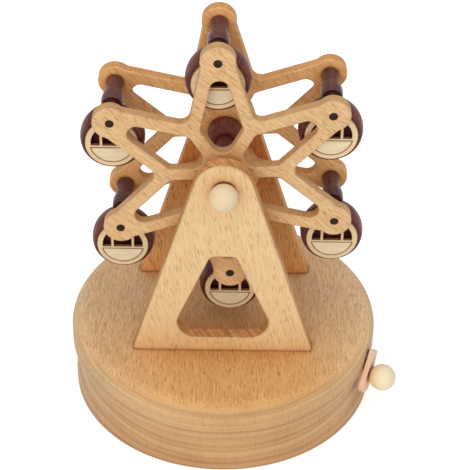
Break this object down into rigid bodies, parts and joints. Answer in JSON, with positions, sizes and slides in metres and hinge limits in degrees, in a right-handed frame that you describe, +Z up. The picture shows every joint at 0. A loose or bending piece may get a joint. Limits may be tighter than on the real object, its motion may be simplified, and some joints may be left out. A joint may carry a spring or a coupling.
{
  "type": "crank ferris wheel toy",
  "caption": "Hand-cranked wooden Ferris wheel toy: lattice wheel with hanging ball cabins between two A-shaped supports on a round turned base.",
  "frame": {"origin": "centre of the base on the surface it stands on", "axes": "+Z up, -Y towards the front of the toy, +X to the right as seen from the front"},
  "size_m": [0.1231, 0.116, 0.1529],
  "materials": {
    "turned_beech": "turned and sanded, matte oil",
    "cover_board": "sanded board, matte",
    "support_beech": "sanded, matte oil",
    "lattice_beech": "sanded, matte oil",
    "dowel_beech": "turned, matte",
    "stained_wood": "dark red-brown stain, satin",
    "pale_ball": "turned, matte",
    "crank_maple": "sanded, matte",
    "cabin_plywood": "laser-cut plywood, matte",
    "bearing_brass": "turned, satin",
    "movement_steel": "ground",
    "screw_steel": "zinc plated",
    "cast_plate": "die cast",
    "belt_rubber": "clear elastic, satin"
  },
  "bodies": {
    "stand": {"base_body": "turned_beech", "base_cover": "cover_board", "cover_screws": "screw_steel", "front_support": "support_beech", "rear_support": "support_beech", "support_screws": "screw_steel", "front_axle_bush": "bearing_brass", "rear_axle_bush": "bearing_brass", "crank_bush": "bearing_brass", "movement_bedplate": "cast_plate", "movement_screws": "screw_steel", "tone_comb": "movement_steel", "comb_screws": "screw_steel", "drive_belt": "belt_rubber"},
    "wheel": {"wheel_axle": "dowel_beech", "wheel_hub": "stained_wood", "front_wheel_frame": "lattice_beech", "rear_wheel_frame": "lattice_beech", "front_spacer": "dowel_beech", "rear_spacer": "dowel_beech", "front_axle_ball": "pale_ball", "rear_axle_ball": "pale_ball", "axle_pulley": "dowel_beech", "front_cabin_pins": "stained_wood", "rear_cabin_pins": "stained_wood"},
    "crank": {"crank_arm": "crank_maple", "crank_knob": "pale_ball", "knob_pin": "pale_ball", "crank_shaft": "movement_steel", "crank_collar": "bearing_brass", "crank_worm": "bearing_brass"},
    "tune_drum": {"cylinder_arbor": "movement_steel", "tune_cylinder": "bearing_brass", "worm_wheel": "bearing_brass", "drive_pulley": "dowel_beech"},
    "cabin_1": {"cabin_1_body": "stained_wood", "cabin_1_spindle": "stained_wood", "cabin_1_front_plate": "cabin_plywood"},
    "cabin_2": {"cabin_2_body": "stained_wood", "cabin_2_spindle": "stained_wood", "cabin_2_front_plate": "cabin_plywood"},
    "cabin_3": {"cabin_3_body": "stained_wood", "cabin_3_spindle": "stained_wood", "cabin_3_front_plate": "cabin_plywood"},
    "cabin_4": {"cabin_4_body": "stained_wood", "cabin_4_spindle": "stained_wood", "cabin_4_front_plate": "cabin_plywood"},
    "cabin_5": {"cabin_5_body": "stained_wood", "cabin_5_spindle": "stained_wood", "cabin_5_front_plate": "cabin_plywood"},
    "cabin_6": {"cabin_6_body": "stained_wood", "cabin_6_spindle": "stained_wood", "cabin_6_front_plate": "cabin_plywood"}
  },
  "joints": [
    {"name": "wheel_spin", "type": "hinge", "parent": "stand", "child": "wheel", "pos_m": [0, 0, 0.1029], "axis": [0, -1, 0], "continuous": true},
    {"name": "cabin_1_swing", "type": "hinge", "parent": "wheel", "child": "cabin_1", "pos_m": [-0.0024, 0, 0.14683], "axis": [0, -1, 0], "continuous": true},
    {"name": "cabin_2_swing", "type": "hinge", "parent": "wheel", "child": "cabin_2", "pos_m": [-0.03925, 0, 0.12279], "axis": [0, -1, 0], "continuous": true},
    {"name": "cabin_3_swing", "type": "hinge", "parent": "wheel", "child": "cabin_3", "pos_m": [-0.03685, 0, 0.07885], "axis": [0, -1, 0], "continuous": true},
    {"name": "cabin_4_swing", "type": "hinge", "parent": "wheel", "child": "cabin_4", "pos_m": [0.0024, 0, 0.05897], "axis": [0, -1, 0], "continuous": true},
    {"name": "cabin_5_swing", "type": "hinge", "parent": "wheel", "child": "cabin_5", "pos_m": [0.03925, 0, 0.08301], "axis": [0, -1, 0], "continuous": true},
    {"name": "cabin_6_swing", "type": "hinge", "parent": "wheel", "child": "cabin_6", "pos_m": [0.03685, 0, 0.12695], "axis": [0, -1, 0], "continuous": true},
    {"name": "crank_spin", "type": "hinge", "parent": "stand", "child": "crank", "pos_m": [0.05512, -0.02023, 0.0233], "axis": [0.891, -0.454, 0], "continuous": true},
    {"name": "tune_drum_spin", "type": "hinge", "parent": "stand", "child": "tune_drum", "pos_m": [-0.0088, 0.01234, 0.0129], "axis": [-0.454, -0.891, 0], "continuous": true}
  ],
  "couplings": [
    {"joint": "cabin_1_swing", "follows": "wheel_spin", "ratio": -1},
    {"joint": "cabin_2_swing", "follows": "wheel_spin", "ratio": -1},
    {"joint": "cabin_3_swing", "follows": "wheel_spin", "ratio": -1},
    {"joint": "cabin_4_swing", "follows": "wheel_spin", "ratio": -1},
    {"joint": "cabin_5_swing", "follows": "wheel_spin", "ratio": -1},
    {"joint": "cabin_6_swing", "follows": "wheel_spin", "ratio": -1},
    {"joint": "tune_drum_spin", "follows": "wheel_spin", "ratio": 1},
    {"joint": "crank_spin", "follows": "wheel_spin", "ratio": 18}
  ]
}
